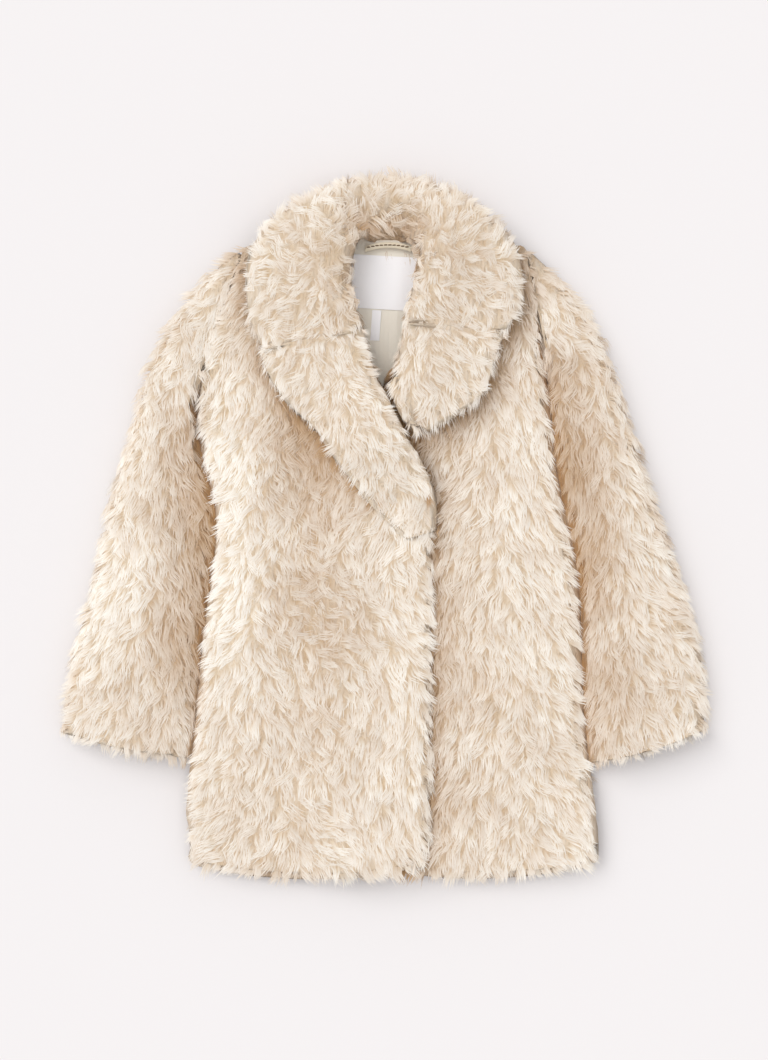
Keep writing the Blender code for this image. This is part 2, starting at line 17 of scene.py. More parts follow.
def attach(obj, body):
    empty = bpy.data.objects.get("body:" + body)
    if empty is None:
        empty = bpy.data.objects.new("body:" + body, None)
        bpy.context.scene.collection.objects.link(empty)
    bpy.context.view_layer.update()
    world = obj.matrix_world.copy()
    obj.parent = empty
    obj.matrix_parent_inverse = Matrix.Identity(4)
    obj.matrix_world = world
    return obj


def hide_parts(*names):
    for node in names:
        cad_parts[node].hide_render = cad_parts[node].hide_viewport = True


bl_info = {
    "name": "Faux Fur Coat",
    "version": (1, 0, 0),
    "blender": (4, 5, 0),
    "location": "View3D > Sidebar > Coat",
    "description": "Builds the pile, lining, labels and stage of a coat that lies flat",
    "category": "Add Mesh",
}

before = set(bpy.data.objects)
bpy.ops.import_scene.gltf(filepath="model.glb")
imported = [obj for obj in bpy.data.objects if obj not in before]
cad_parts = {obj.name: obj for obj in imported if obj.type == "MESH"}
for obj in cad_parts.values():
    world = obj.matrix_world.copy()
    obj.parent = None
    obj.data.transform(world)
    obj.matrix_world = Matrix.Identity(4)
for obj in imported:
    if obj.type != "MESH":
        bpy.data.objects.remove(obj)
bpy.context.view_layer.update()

MM = 0.001
UP, DOWN = Vector((0.0, 0.0, 1.0)), Vector((0.0, 0.0, -1.0))
ALL_NODES = sorted(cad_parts)
BODY_NODES = ("front_right", "front_left", "sleeve_right", "sleeve_left")
NECK_NODES = ("collar", "lapel_right", "lapel_left")

# -------- cloth

# A piece as it is cut, in metres, what it lies on, how far its pile passes the coat's
# outline, how long and how curly its pile is beside the other pieces', and its seed.
Cut = namedtuple("Cut", "width length area rests_on overhang pile curl seed")
CUTS = {
    "back": Cut(0.385, 0.589, 0.205, "floor", 0.004, 1.0, 1.0, 7),
    "front_left": Cut(0.233, 0.597, 0.120, "back_backing", 0.009, 1.0, 1.0, 17),
    "front_right": Cut(0.232, 0.598, 0.125, "back_backing", 0.010, 1.0, 1.0, 27),
    "sleeve_right": Cut(0.27, 0.45, 0.10, "floor", 0.008, 1.0, 1.0, 37),
    "sleeve_left": Cut(0.27, 0.45, 0.10, "floor", 0.008, 1.0, 1.0, 47),
    "collar": Cut(0.09, 0.48, 0.036, "back_backing", 0.013, 0.82, 1.1, 57),
    "lapel_right": Cut(0.10, 0.19, 0.0150, "front_right_backing", 0.010, 0.85, 1.0, 67),
    "lapel_left": Cut(0.10, 0.10, 0.0075, "front_left_backing", 0.008, 0.85, 1.0, 77),
}

# A soft crease in flat cloth, from one place to another, in millimetres.
Crease = namedtuple("Crease", "x0 y0 x1 y1 width height")
LINING_CREASES = (
    Crease(13, 208, 9, 140, 4.0, 0.9),
    Crease(-10, 200, 3, 130, 5.0, 0.7),
    Crease(24, 190, 12, 150, 3.5, 0.5),
    Crease(-30, 215, -8, 165, 5.0, 0.6),
)
LABEL_CREASES = (
    Crease(-36, 230, 30, 226, 16.0, 0.5),
    Crease(-20, 256, -24, 203, 7.0, 0.4),
    Crease(18, 254, 12, 203, 8.0, 0.5),
)
TAG_CREASES = (Crease(-4, 204, -6, 174, 4.0, 0.9),)
CREASE_NET = 0.004

# Which piece sinks into which, from one place down the coat to another, and the share of
# its height that stays. Where nothing lies under it, it sinks towards the fallback height.
SETTLING = {"lapel_right": ("front_right", 0.085, 0.010)}
SETTLED = 0.06
FALLBACK_TOP = 0.030

# Where each sleeve parts from the body: wearer's right, then left.
ARM_OPENS = ((0.100, 0.150), (0.155, 0.205))
# How far the pile bridges a groove between two pieces, and what counts as a piece's top.
GROOVE_REACH = 0.016
TOP_FACING = 0.03

# How far the backing lies in from the pile's outside.
TOP_INSET = 0.0060
SIDE_INSET = 0.0055
BOTTOM_INSET = 0.0015
# The backing near a closed seam sinks straight down, so that no lip stands along it.
PLUMB_REACH = 0.030
# A wall faces a seam where another piece stands this near in front of it at one of these
# depths. Where the seam is closed by at least this share, the walls spread this far.
WALL_SLOPE = 0.25
SEAM_REACH = 0.014
SEAM_DEPTHS = (0.003, 0.007, 0.012)
CLOSED = 0.3
SEAM_SPREAD = 0.0022
# Below these heights neighbouring pieces close up, so the floor doesn't show between them.
FOOT = (0.015, 0.025)
FOOT_INSET = -0.0022
# The backing moves in by less where a face would turn from its old normal past this.
TURNED = 0.25
EASED = 0.8
EASINGS = 12

# -------- pile

# What the pile tree reads from the cloth: the way the pile is combed and the way it
# stands, how much grows, how deep its roots lie and how far back they move, how long, how
# curly and how light it is, painted shade included. Then the name of the map that the tree
# makes.
CLOTH_MARKS = ("nap", "stand", "grow", "depth", "draw", "pile", "curl", "tone")
PILE_MAP = "OFBake"
# The pile tree's own sizes, and the settings that they come from.
PILE_SIZES = {
    "Strand Density": "density",
    "Lock Spacing": "lock_spacing",
    "Pile Length": "pile_length",
    "Lift": "lift",
    "Strand Width": "strand_width",
    "Clump": "clump",
    "Curl": "curl",
    "Frizz": "frizz",
}
STRAND_SIDES = 3
STRAND_SEGMENTS = 2
STRAND_FLATNESS = 0.45

# Pile grows on what faces up at least this much, and not where other pieces cover it and
# all round it this far.
LOWEST_FACING = -0.4
COVER_REACH = 0.012
# How far the light on a strand comes from above rather than from where its root faces.
UPLIGHT = 0.6
# How much of a lock's length past the outline is made up for by moving its root back, and
# the least of its length that is left.
DRAWN = 0.2
SHORTEST = 0.4
# How steeply the nap lies down, how far it turns to lie flat on the cloth, how far up a
# level lock stands, and how deep under the pile's outside a root can be.
NAP_DROP = -0.12
NAP_FLATTENING = 0.75
LEVEL_RISE = 1.5
DEEPEST = 0.016
# Locks stand level on walls that face up less than this, where the coat goes on ahead of
# them: how far ahead is looked at, and what drop counts as its end.
LEVELLING = (0.65, 0.9)
AHEAD = (0.007, 0.013)
DROP_OFF = (0.004, 0.015)
# How much grows on a piece's walls along a seam, and up to which facing: as a rule, then
# on the collar.
SEAM_GROWTH = (0.1, 0.2)
COLLAR_GROWTH = (0.0, 0.35)
# The tone of pile with no painted shade, and how far painted shade takes it down: how much
# the comb's shade and a hollow's hidden sky count towards it, and where a hollow is felt.
FULL_TONE = 0.82
SHADED_BY = 0.80
COMB_SHADE = 0.9
CREVICE_SHADE = 1.35
OPEN_SHARE = 0.04
SKY_CLIMBS = (0.35, 0.7, 1.05)
SKY_REACH = 0.035
SKY_WAYS = 12

# How the pile is combed: strokes at some places, in millimetres. Each has a lean, in
# degrees from straight down the coat towards the wearer's left, how much the locks curl
# there, in percent, and how much painted shade darkens them there, in percent, or painted
# light lightens them where it is below 0: the shade of folds, creases and sides turned from
# the light, and the light on sides turned towards it.
COMB_REACH = 0.034
COMBS = {
    "front_right": (
        (-148, 205, -50, 60, 0), (-158, 150, -35, 60, 0), (-120, 120, -12, 60, 0),
        (-158, 50, -35, 50, -45), (-150, -20, -45, 50, -55), (-160, -90, -45, 50, -40),
        (-180, -170, -50, 50, 0), (-180, -240, -50, 50, 0), (-172, -300, -42, 60, 0),
        (-85, 80, 5, 90, 50), (-110, 0, -10, 70, 10), (-62, 30, 10, 110, 50),
        (-30, 25, -35, 70, 10), (-5, -20, -12, 60, 0), (-72, -40, 38, 150, 35),
        (-50, -85, 60, 160, 35), (-95, -110, 15, 90, 12), (15, -85, 45, 70, 0),
        (35, -110, 58, 60, 0), (32, -155, 25, 50, 0), (0, -150, 0, 60, 10), (5, -200, -14, 50, 0),
        (-60, -190, 0, 100, 22), (-120, -180, 5, 70, 10), (-110, -250, -25, 80, 10),
        (-30, -250, 5, 70, 10), (32, -260, 5, 50, 0), (0, -310, 22, 60, 0),
        (-65, -285, 75, 80, 0), (-110, -305, -25, 80, 20),
    ),
    "front_left": (
        (150, 220, 50, 60, 0), (120, 190, 5, 60, 10), (95, 130, 15, 60, 10),
        (75, 60, -45, 60, 15), (52, 10, -22, 60, 50), (53, -50, -18, 60, 45),
        (53, -110, -12, 60, 50), (51, -175, -14, 50, 45), (50, -240, -12, 50, 40),
        (49, -295, -10, 50, 30), (100, 60, 5, 50, 0), (135, 100, 22, 50, 0), (125, 0, 8, 50, 0),
        (85, -10, -30, 60, 10), (70, -60, -12, 60, 10), (145, -25, 42, 50, 0),
        (170, 40, 42, 40, 0), (178, -50, 42, 40, 0), (120, -110, 5, 50, 0),
        (60, -130, -5, 60, 10), (75, -200, -22, 60, 10), (182, -140, 45, 50, 0),
        (130, -200, 10, 70, 10), (186, -225, 48, 60, 0), (110, -260, 0, 70, 10),
        (70, -290, -12, 60, 0), (190, -295, 38, 60, 0),
    ),
    "sleeve_right": (
        (-170, 230, -45, 70, 0), (-195, 170, -38, 70, 0), (-170, 150, -12, 80, 10),
        (-225, 120, -20, 70, -15), (-182, 100, 5, 60, 50), (-235, 50, -15, 60, -20),
        (-198, 60, -2, 60, 25), (-168, 50, 9, 50, 95), (-196, 0, 2, 60, 30),
        (-163, 8, 11, 50, 100), (-228, -20, -12, 60, -20), (-167, -35, 10, 50, 95),
        (-200, -55, 2, 60, 20), (-255, -60, -34, 60, -20), (-175, -85, 7, 50, 85),
        (-285, -100, -30, 60, -15), (-184, -125, 4, 50, 50), (-225, -140, -16, 60, 10),
        (-270, -150, -36, 60, 10), (-195, -170, 0, 50, 20), (-285, -185, -26, 70, 0),
    ),
    "sleeve_left": (
        (160, 235, 35, 70, 0), (185, 205, 45, 80, 0), (205, 160, 28, 90, 10),
        (170, 125, 2, 70, 70), (205, 110, 10, 70, 10), (235, 70, 20, 60, 0),
        (175, 60, -7, 50, 90), (186, 5, -8, 50, 85), (212, 20, 10, 50, 0), (245, 20, 40, 60, 0),
        (192, -55, -9, 50, 75), (240, -40, 40, 60, 0), (275, -10, 22, 60, 0),
        (265, -100, 55, 80, 10), (220, -90, 10, 50, 0), (195, -115, -9, 50, 65),
        (290, -130, 38, 70, 0), (199, -165, -8, 50, 50), (245, -180, 22, 70, 10),
        (295, -180, 14, 70, 0),
    ),
    "collar": (
        (-102, 182, -32, 90, 0), (-60, 185, -12, 120, 15), (-28, 190, 12, 100, 10),
        (-120, 230, -85, 90, 0), (-80, 230, -60, 110, 10), (-40, 230, 30, 150, 30),
        (-100, 275, -120, 80, 0), (-62, 275, -145, 130, 10), (-34, 275, 165, 170, 10),
        (-55, 315, -160, 80, 0), (-28, 320, 170, 80, 10), (-14, 282, 12, 90, 30),
        (0, 320, 175, 80, 10), (14, 284, -4, 90, 30), (45, 320, 165, 90, 10),
        (42, 285, 165, 160, 20), (75, 300, 140, 90, 10), (60, 250, 60, 170, 30),
        (105, 265, 115, 80, 0), (120, 225, 75, 80, 0), (80, 215, 40, 100, 20),
        (40, 215, -8, 100, 0), (100, 190, 22, 80, 0), (50, 195, 2, 90, 10),
    ),
    "lapel_right": (
        (-105, 160, -50, 80, 0), (-90, 130, -35, 80, 0), (-60, 150, -10, 80, 10),
        (-25, 160, 40, 80, 0), (-10, 140, 75, 70, 0), (-50, 105, -10, 80, 0),
        (-15, 110, 45, 80, 10), (5, 105, 70, 70, 0), (20, 80, 55, 70, 0), (-20, 60, -10, 80, 0),
        (35, 50, 45, 70, 0), (15, 20, 15, 70, 0),
    ),
    "lapel_left": (
        (25, 170, -25, 70, 0), (60, 165, 10, 90, 10), (100, 165, 50, 80, 0),
        (20, 140, -20, 70, 0), (55, 135, 15, 90, 10), (90, 135, 45, 80, 0), (30, 105, 0, 80, 0),
        (65, 110, 40, 80, 0),
    ),
    "back": (
        (-170, 0, -20, 60, 20), (0, -100, 0, 60, 20), (170, 0, 20, 60, 20),
    ),
}


# -------- settings


class CoatPileSettings(bpy.types.PropertyGroup):
    """Sizes and colours of the pile."""

    pile_length: bpy.props.FloatProperty(
        name="Pile Length", description="Length of a lock from backing to tip",
        default=0.017, min=0.005, max=0.06, unit="LENGTH",
    )
    lift: bpy.props.FloatProperty(
        name="Lift", description="Height of a lying lock above the backing",
        default=0.0072, min=0.001, max=0.03, unit="LENGTH",
    )
    lock_spacing: bpy.props.FloatProperty(
        name="Lock Spacing", description="Distance between neighbouring locks",
        default=0.0085, min=0.002, max=0.03, unit="LENGTH",
    )
    strand_width: bpy.props.FloatProperty(
        name="Strand Width", description="Width of one strand of a lock",
        default=0.0018, min=0.0003, max=0.006, unit="LENGTH",
    )
    density: bpy.props.FloatProperty(
        name="Strand Density", description="Strands on a square metre of cloth",
        default=165000.0, min=1000.0, max=400000.0,
    )
    clump: bpy.props.FloatProperty(
        name="Clump", description="How far a lock's strands close up at its tip",
        default=0.40, min=0.0, max=1.0, subtype="FACTOR",
    )
    curl: bpy.props.FloatProperty(
        name="Curl", description="Sideways swing of a lock",
        default=0.0045, min=0.0, max=0.01, unit="LENGTH",
    )
    frizz: bpy.props.FloatProperty(
        name="Frizz", description="How far single strands stray",
        default=0.0022, min=0.0, max=0.01, unit="LENGTH",
    )
    tip_colour: bpy.props.FloatVectorProperty(
        name="Tip Colour", description="Colour of the tips", subtype="COLOR",
        size=4, default=(0.875, 0.848, 0.80, 1.0), min=0.0, max=1.0,
    )
    # Painted shade: pile in creases, hollows and shaded folds is coloured towards this.
    shade_colour: bpy.props.FloatVectorProperty(
        name="Shade Colour", description="Colour of the pile down in the creases", subtype="COLOR",
        size=4, default=(0.46, 0.29, 0.15, 1.0), min=0.0, max=1.0,
    )
    # Partly the roots' own deeper colour, partly painted shade deep down in the pile.
    root_and_shade_tint: bpy.props.FloatVectorProperty(
        name="Root Tint", description="How the colour deepens down in the pile", subtype="COLOR",
        size=4, default=(0.74, 0.62, 0.47, 1.0), min=0.0, max=1.0,
    )


class CoatLiningSettings(bpy.types.PropertyGroup):
    """Colours of the lining, labels and hanger loop."""

    lining_colour: bpy.props.FloatVectorProperty(
        name="Lining Colour", description="Satin lining", subtype="COLOR",
        size=4, default=(0.80, 0.75, 0.66, 1.0), min=0.0, max=1.0,
    )
    label_colour: bpy.props.FloatVectorProperty(
        name="Label Colour", description="Bare woven label", subtype="COLOR",
        size=4, default=(0.88, 0.87, 0.89, 1.0), min=0.0, max=1.0,
    )
    thread_colour: bpy.props.FloatVectorProperty(
        name="Thread Colour", description="Stitches on the hanger loop", subtype="COLOR",
        size=4, default=(0.13, 0.07, 0.03, 1.0), min=0.0, max=1.0,
    )
    tape_colour: bpy.props.FloatVectorProperty(
        name="Tape Colour", description="Hanger loop", subtype="COLOR",
        size=4, default=(0.72, 0.64, 0.50, 1.0), min=0.0, max=1.0,
    )


class CoatStageSettings(bpy.types.PropertyGroup):
    """Floor, light and camera."""

    floor_colour: bpy.props.FloatVectorProperty(
        name="Floor Colour", description="Plain pale floor", subtype="COLOR",
        size=4, default=(0.72, 0.695, 0.698, 1.0), min=0.0, max=1.0,
    )
    camera_height: bpy.props.FloatProperty(
        name="Camera Height", description="Height of the camera above the floor",
        default=2.6, min=1.0, max=8.0, unit="LENGTH",
    )
    key_power: bpy.props.FloatProperty(
        name="Key Light", description="Strength of the soft light from the upper left",
        default=1.4, min=0.0, max=20.0,
    )
    top_power: bpy.props.FloatProperty(
        name="Top Light", description="Strength of the wide light from straight above",
        default=1.12, min=0.0, max=20.0,
    )
    sky_strength: bpy.props.FloatProperty(
        name="Sky Light", description="Strength of the even light from all round",
        default=0.61, min=0.0, max=5.0,
    )


# -------- nodes


def socket(sockets, key):
    """The socket of that name or number that the node's settings leave in use."""
    if isinstance(key, int):
        return sockets[key]
    return next(s for s in sockets if s.name == key and s.enabled)


class Net:
    """A node tree with short ways to add to it: node() gives the node, the rest its outputs."""

    def __init__(self, tree):
        self.tree = tree

    def node(self, kind, values=None, **settings):
        """A new node, with each input set, or linked where its value is a socket."""
        node = self.tree.nodes.new(kind)
        for name, value in settings.items():
            setattr(node, name, value)
        for key, value in (values or {}).items():
            place = socket(node.inputs, key)
            if isinstance(value, bpy.types.NodeSocket):
                self.tree.links.new(value, place)
            else:
                place.default_value = value
        return node

    def out(self, kind, output, values=None, **settings):
        return socket(self.node(kind, values, **settings).outputs, output)

    def geometry(self, kind, values, **settings):
        return self.out("GeometryNode" + kind, "Geometry", values, **settings)

    def maths(self, operation, *values):
        return self.out("ShaderNodeMath", "Value", dict(enumerate(values)), operation=operation)

    def times(self, *values):
        return reduce(lambda a, b: self.maths("MULTIPLY", a, b), values)

    def plus(self, *values):
        return reduce(lambda a, b: self.maths("ADD", a, b), values)

    def less(self, a, b):
        return self.maths("SUBTRACT", a, b)

    def power(self, value, exponent):
        return self.maths("POWER", value, exponent)

    def sloped(self, value, slope, start):
        return self.maths("MULTIPLY_ADD", value, slope, start)

    def vectors(self, operation, *values, output="Vector"):
        return self.out(
            "ShaderNodeVectorMath", output, dict(enumerate(values)), operation=operation
        )

    def added(self, *values):
        return reduce(lambda a, b: self.vectors("ADD", a, b), values)

    def unit(self, vector):
        return self.vectors("NORMALIZE", vector)

    def scaled(self, vector, *factors):
        return self.out(
            "ShaderNodeVectorMath", "Vector", {0: vector, "Scale": self.times(*factors)},
            operation="SCALE",
        )

    def combined(self, x, y, z=0.0):
        return self.out("ShaderNodeCombineXYZ", "Vector", {0: x, 1: y, 2: z})

    def separated(self, vector):
        return tuple(self.node("ShaderNodeSeparateXYZ", {0: vector}).outputs)

    def mapped(self, value, low, high, to_low, to_high):
        limits = {"From Min": low, "From Max": high, "To Min": to_low, "To Max": to_high}
        return self.out("ShaderNodeMapRange", "Result", {"Value": value, **limits})

    def mixed(self, factor, a, b, blend="MIX"):
        return self.out(
            "ShaderNodeMix", "Result", {"Factor": factor, "A": a, "B": b},
            data_type="RGBA", blend_type=blend,
        )

    def noise(self, output, place, scale, detail, **more):
        values = {"Vector": place, "Scale": scale, "Detail": detail, **more}
        return self.out("ShaderNodeTexNoise", output, values)

    def drift(self, place, scale):
        """A vector that changes smoothly from place to place, round nought."""
        return self.vectors("SUBTRACT", self.noise("Color", place, scale, 1.0), (0.5, 0.5, 0.5))

    def number(self, name, kind="FLOAT"):
        return self.out(
            "GeometryNodeInputNamedAttribute", "Attribute", {"Name": name}, data_type=kind
        )

    def vector(self, name):
        return self.number(name, "FLOAT_VECTOR")

    def stored(self, geometry, name, value, kind, domain="POINT"):
        return self.geometry(
            "StoreNamedAttribute", {"Geometry": geometry, "Name": name, "Value": value},
            data_type=kind, domain=domain,
        )

    def random(self, low, high, number, seed, kind="FLOAT"):
        values = {"Min": low, "Max": high, "ID": number, "Seed": seed}
        return self.out("FunctionNodeRandomValue", "Value", values, data_type=kind)

    def random_way(self, number, seed):
        return self.random((-1.0, -1.0, -1.0), (1.0, 1.0, 1.0), number, seed, "FLOAT_VECTOR")


# -------- materials


def new_material(name, roughness, sheen=0.0, sheen_roughness=0.5, specular=0.5):
    """(material, net, shader) with the numbers that are the same all over set on the shader."""
    material = bpy.data.materials.new(name)
    material.use_nodes = True
    shader = material.node_tree.nodes["Principled BSDF"]
    shader.inputs["Roughness"].default_value = roughness
    shader.inputs["Sheen Weight"].default_value = sheen
    shader.inputs["Sheen Roughness"].default_value = sheen_roughness
    shader.inputs["Specular IOR Level"].default_value = specular
    return material, Net(material.node_tree), shader


def colour_pile(net, shader, settings, tone, share):
    """Colours pile from painted shade to tip by its tone, and deepens it where the share is low:
    the roots' colour and painted shade deep in the pile.
    """
    tips = net.mixed(tone, settings.shade_colour, settings.tip_colour)
    tint = net.mixed(share, settings.root_and_shade_tint, (1.0, 1.0, 1.0, 1.0))
    net.tree.links.new(net.mixed(1.0, tips, tint, blend="MULTIPLY"), shader.inputs["Base Color"])


def raise_relief(net, shader, strength, distance, height):
    values = {"Strength": strength, "Distance": distance, "Height": height}
    net.tree.links.new(net.out("ShaderNodeBump", "Normal", values), shader.inputs["Normal"])


def pile_material(settings):
    """Pile: the map holds each strand's own tone, painted shade included, across and root to tip
    upwards.
    """
    name = "cream_pile"
    if name in bpy.data.materials:
        return bpy.data.materials[name]
    material, net, shader = new_material(name, 0.9, 0.25, 0.4, 0.15)
    tone, along, _ = net.separated(net.out("ShaderNodeUVMap", "UV", uv_map=PILE_MAP))
    colour_pile(net, shader, settings, tone, net.mapped(along, 0.0, 0.7, 0.0, 1.0))
    return material


def backing_material(settings):
    """Backing: the pressed pile between the roots of the locks, with the tone's painted shade."""
    name = "pressed_pile"
    if name in bpy.data.materials:
        return bpy.data.materials[name]
    material, net, shader = new_material(name, 0.95, 0.2, 0.5, 0.1)
    place = net.out("ShaderNodeTexCoord", "Object")
    stretched = net.out("ShaderNodeMapping", "Vector", {"Vector": place, "Scale": (1.0, 0.28, 1.0)})
    streaks = net.noise("Fac", stretched, 420.0, 4.0, Roughness=0.6, Distortion=0.8)
    locks = net.out(
        "ShaderNodeTexVoronoi", "Distance", {"Vector": stretched, "Scale": 150.0, "Randomness": 1.0}
    )
    height = net.less(streaks, locks)
    tone = net.out("ShaderNodeAttribute", "Fac", attribute_name="tone")
    # Low in its relief the colour deepens: the roots' colour and painted shade in the hollows.
    colour_pile(net, shader, settings, tone, net.mapped(height, -0.5, 0.5, 0.0, 0.6))
    raise_relief(net, shader, 0.8, 0.003, height)
    return material


def woven_material(name, colour, roughness, sheen, threads, relief):
    """Flat weave or satin: fine crossing ribs that many to the metre."""
    if name in bpy.data.materials:
        return bpy.data.materials[name]
    material, net, shader = new_material(name, roughness, sheen, 0.4, 0.4)
    shader.inputs["Base Color"].default_value = colour
    place = net.out("ShaderNodeTexCoord", "Object")
    x, y, _ = net.separated(place)
    ribs, rows = (net.maths("SINE", net.times(way, math.tau * threads)) for way in (x, y))
    uneven = net.noise("Fac", place, 260.0, 3.0)
    raise_relief(net, shader, 0.5, relief, net.sloped(ribs, rows, net.times(uneven, 2.0)))
    return material


# -------- pile tree


def root_points(net, given):
    """Where strands root and where locks stand, both moved down to the backing."""
    grow, spacing = net.number("grow"), given["Lock Spacing"]
    strands = net.out(
        "GeometryNodeDistributePointsOnFaces", "Points",
        {
            "Mesh": given["Geometry"],
            "Density": net.times(given["Strand Density"], grow),
            "Seed": given["Seed"],
        },
        distribute_method="RANDOM",
    )
    locks = net.out(
        "GeometryNodeDistributePointsOnFaces", "Points",
        {
            "Mesh": given["Geometry"],
            "Distance Min": spacing,
            "Density Max": net.maths("DIVIDE", 3.0, net.times(spacing, spacing)),
            "Density Factor": net.maths("GREATER_THAN", grow, 0.02),
            "Seed": net.plus(given["Seed"], 1.0),
        },
        distribute_method="POISSON",
    )
    down = net.scaled(net.vector("stand"), net.number("depth"), -1.0)
    back = net.scaled(net.vector("nap"), net.number("draw"), -1.0)
    offset = net.added(down, back)
    return [
        net.geometry("SetPosition", {"Geometry": points, "Offset": offset})
        for points in (strands, locks)
    ]


def marked_roots(net, given):
    """The strands' roots with what shapes each strand stored on them, and its names."""
    roots, locks = root_points(net, given)
    here = net.out("GeometryNodeInputPosition", "Position")
    index = net.out("GeometryNodeInputIndex", "Index")
    nearest = net.out(
        "GeometryNodeSampleNearest", "Index", {"Geometry": locks, "Sample Position": here},
        domain="POINT",
    )

    def of_lock(vector):
        return net.out(
            "GeometryNodeSampleIndex", "Value",
            {"Geometry": locks, "Value": vector, "Index": nearest},
            data_type="FLOAT_VECTOR", domain="POINT",
        )

    curl, pile = net.number("curl"), net.number("pile")
    up, nap = of_lock(net.unit(net.vector("stand"))), of_lock(net.vector("nap"))
    # The lock's own way: its nap turned a little about the cloth's normal.
    turn = net.times(net.random(-1.0, 1.0, nearest, 11), net.sloped(curl, 0.45, 0.12))
    way = net.unit(net.added(nap, net.scaled(net.vectors("CROSS_PRODUCT", up, nap), turn)))
    stray = net.added(
        net.scaled(net.random_way(index, 12), 0.12), net.scaled(net.drift(here, 70.0), curl, 1.6)
    )
    soft_up = net.added(up, (0.0, 0.0, 0.6), net.scaled(net.drift(here, 38.0), 0.9))
    # The cloth's tone, which holds the painted shade, with tone that differs at random by lock,
    # strand and patch.
    tone = net.plus(
        net.number("tone"), net.random(-0.08, 0.08, nearest, 13),
        net.random(-0.05, 0.05, index, 14),
        net.sloped(net.noise("Fac", here, 28.0, 2.0), 0.4, -0.2),
    )
    vectors = {
        "soft_up": net.unit(soft_up),
        "root": here,
        "guide": of_lock(here),
        "up": up,
        "way": net.unit(net.added(way, stray)),
        "frizz": net.random_way(index, 20),
    }
    numbers = {
        "length": net.times(
            given["Pile Length"], pile, net.random(0.82, 1.15, nearest, 15),
            net.random(0.85, 1.05, index, 16), net.sloped(curl, -0.25, 1.12),
        ),
        "lift": net.times(
            given["Lift"], net.random(0.6, 1.3, nearest, 17), net.sloped(pile, 0.6, 0.4)
        ),
        "tone_own": net.out("ShaderNodeClamp", "Result", {"Value": tone, "Min": 0.02, "Max": 0.98}),
        "phase": net.random(0.0, 6.283, nearest, 18),
        "swing": net.times(curl, net.random(0.5, 1.3, nearest, 19)),
        "closing": net.sloped(curl, 0.7, 0.4),
        "ground": net.random(0.0006, 0.003, index, 21),
    }
    for kind, marks in (("FLOAT_VECTOR", vectors), ("FLOAT", numbers)):
        for name, value in marks.items():
            roots = net.stored(roots, name, value, kind)
    return roots, [*vectors, *numbers]


def straight_strands(net, points):
    """A thin cone on each point, which keeps its own shape under the name strand."""
    cone = net.out(
        "GeometryNodeMeshCone", "Mesh",
        {
            "Vertices": STRAND_SIDES, "Side Segments": STRAND_SEGMENTS, "Fill Segments": 1,
            "Radius Top": 0.0, "Radius Bottom": 1.0, "Depth": 1.0,
        },
        fill_type="NGON",
    )
    own = net.out("GeometryNodeInputPosition", "Position")
    cone = net.stored(cone, "strand", own, "FLOAT_VECTOR")
    strands = net.out(
        "GeometryNodeInstanceOnPoints", "Instances", {"Points": points, "Instance": cone}
    )
    return net.geometry("RealizeInstances", {"Geometry": strands})


def bent_strands(net, given, strands):
    """The strands as they lie, with their facing and their map stored on them."""
    ring_up, ring_left, along = net.separated(net.vector("strand"))
    ring_side, left = net.times(ring_left, -1.0), net.less(1.0, along)
    way, up = net.vector("way"), net.vector("up")
    root, guide = net.vector("root"), net.vector("guide")
    side = net.unit(net.vectors("CROSS_PRODUCT", up, way))

    closing = net.times(given["Clump"], net.number("closing"), net.power(along, 0.75))
    angle = net.sloped(along, 5.5, net.number("phase"))
    swing = net.times(given["Curl"], net.number("swing"), net.power(along, 0.7))
    line = net.added(
        root,
        net.scaled(net.vectors("SUBTRACT", guide, root), closing),
        net.scaled(way, net.number("length"), net.power(along, 1.25)),
        net.scaled(up, net.less(1.0, net.power(left, 2.0)), net.number("lift")),
        net.scaled(side, swing, net.maths("SINE", angle)),
        net.scaled(up, swing, net.times(net.maths("COSINE", angle), 0.5)),
        net.scaled(net.vector("frizz"), given["Frizz"], along),
    )
    # The cone's own radius falls evenly, so this leaves the strand full for longer.
    fuller = net.power(net.maths("MAXIMUM", left, 0.02), -0.65)
    width = net.times(fuller, net.times(given["Strand Width"], 0.5))
    ring = net.added(
        net.scaled(side, ring_side, width),
        net.scaled(up, ring_up, net.times(width, STRAND_FLATNESS)),
    )

    # Light falls on a whole lock, so the strands take most of their normal from its shape.
    offset = net.vectors("SUBTRACT", root, guide)
    off_side = net.vectors("DOT_PRODUCT", offset, side, output="Value")
    off_side = net.times(net.maths("DIVIDE", off_side, given["Lock Spacing"]), 0.4)
    own = net.added(net.scaled(side, ring_side), net.scaled(up, ring_up))
    facing = net.added(
        net.vector("soft_up"), net.scaled(side, off_side),
        net.scaled(way, net.sloped(along, 0.55, -0.25)), net.scaled(own, 0.04),
    )
    strands = net.stored(strands, "facing", net.unit(facing), "FLOAT_VECTOR")
    x, y, z = net.separated(net.added(line, ring))
    place = net.combined(x, y, net.maths("MAXIMUM", z, net.number("ground")))
    strands = net.geometry("SetPosition", {"Geometry": strands, "Position": place})

    # Across the map a strand takes a narrow band at its tone.
    band = net.times(net.sloped(ring_side, 0.5, ring_up), 0.004)
    across = net.plus(net.number("tone_own"), band)
    spot = net.combined(across, net.mapped(along, 0.0, 1.0, 0.01, 0.99))
    return net.stored(strands, PILE_MAP, spot, "FLOAT2", "CORNER")


